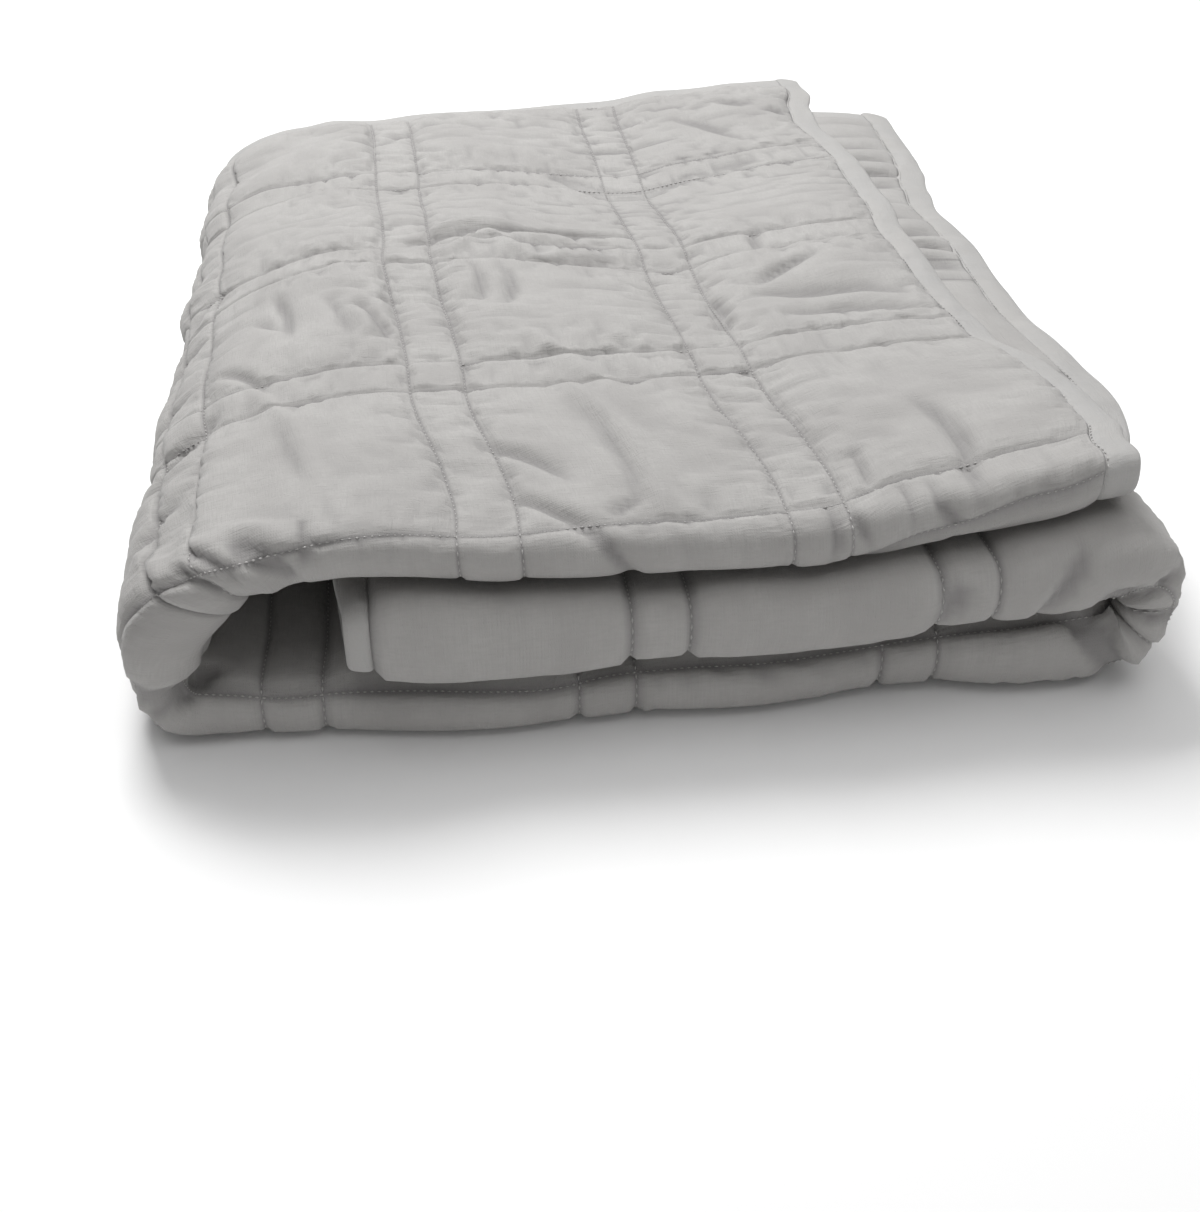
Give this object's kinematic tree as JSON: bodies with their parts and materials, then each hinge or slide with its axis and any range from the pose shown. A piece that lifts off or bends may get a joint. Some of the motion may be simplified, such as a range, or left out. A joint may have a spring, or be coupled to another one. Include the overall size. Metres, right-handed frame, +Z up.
{
  "type": "folded weighted blanket",
  "caption": "Light grey quilted cotton weighted blanket with sewn square pockets and a flat binding, folded in half and then in three into a thick pad.",
  "frame": {"origin": "middle of the folded blanket's underside, on the surface it rests on", "axes": "+Z up through the layers; -Y towards the front, where the cloth is folded in half; +X towards the free end that lies on top"},
  "size_m": [0.5088, 0.6254, 0.1183],
  "materials": {
    "quilt_cotton": "matt woven cotton, quilted",
    "binding_cotton": "matt woven cotton, flat and edge stitched"
  },
  "bodies": {
    "root": {"quilt": "quilt_cotton", "binding_top_end": "binding_cotton", "binding_inner_end": "binding_cotton", "binding_upper_side": "binding_cotton", "binding_lower_side": "binding_cotton"}
  },
  "joints": []
}
